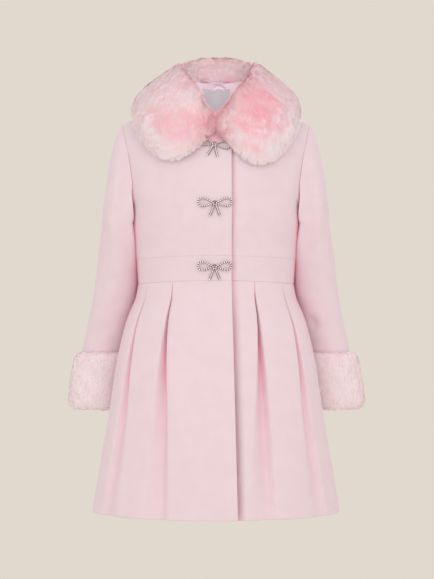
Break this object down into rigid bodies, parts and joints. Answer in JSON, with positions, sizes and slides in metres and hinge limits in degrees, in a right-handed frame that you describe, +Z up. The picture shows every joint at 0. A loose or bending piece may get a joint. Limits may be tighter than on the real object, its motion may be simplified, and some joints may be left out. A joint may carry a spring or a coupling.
{
  "type": "fur collar coat",
  "caption": "Child's fitted wool coat, filled out and hollow, with a broad fur collar, fur cuffs, a lapped front with bow fasteners, a waistband and a flared pleated skirt.",
  "frame": {"origin": "middle of the neck opening, level with the inner ends of the shoulder seams, where the wearer's neck and shoulders hold the coat", "axes": "+Z up from hem to collar, +X towards the coat's left sleeve, which is on the viewer's right, and +Y towards its back, so that its front faces -Y"},
  "size_m": [0.451, 0.295, 0.6852],
  "materials": {
    "wool_cloth": "matt felted wool blend",
    "faux_fur": "soft long pile",
    "satin_lining": "soft satin",
    "label_satin": "woven satin",
    "bow_ornament": "bright metal set with clear stones"
  },
  "bodies": {
    "root": {"bodice_front_right": "wool_cloth", "bodice_front_left": "wool_cloth", "bodice_back": "wool_cloth", "waistband_front_right": "wool_cloth", "waistband_front_left": "wool_cloth", "waistband_back": "wool_cloth", "skirt_front_right": "wool_cloth", "skirt_front_left": "wool_cloth", "skirt_back": "wool_cloth", "sleeve_right": "wool_cloth", "sleeve_left": "wool_cloth", "collar_fur": "faux_fur", "cuff_fur_right": "faux_fur", "cuff_fur_left": "faux_fur", "back_neck_lining": "satin_lining", "neck_label": "label_satin", "hanger_loop": "satin_lining", "bow_top": "bow_ornament", "bow_middle": "bow_ornament", "bow_waist": "bow_ornament"}
  },
  "joints": []
}
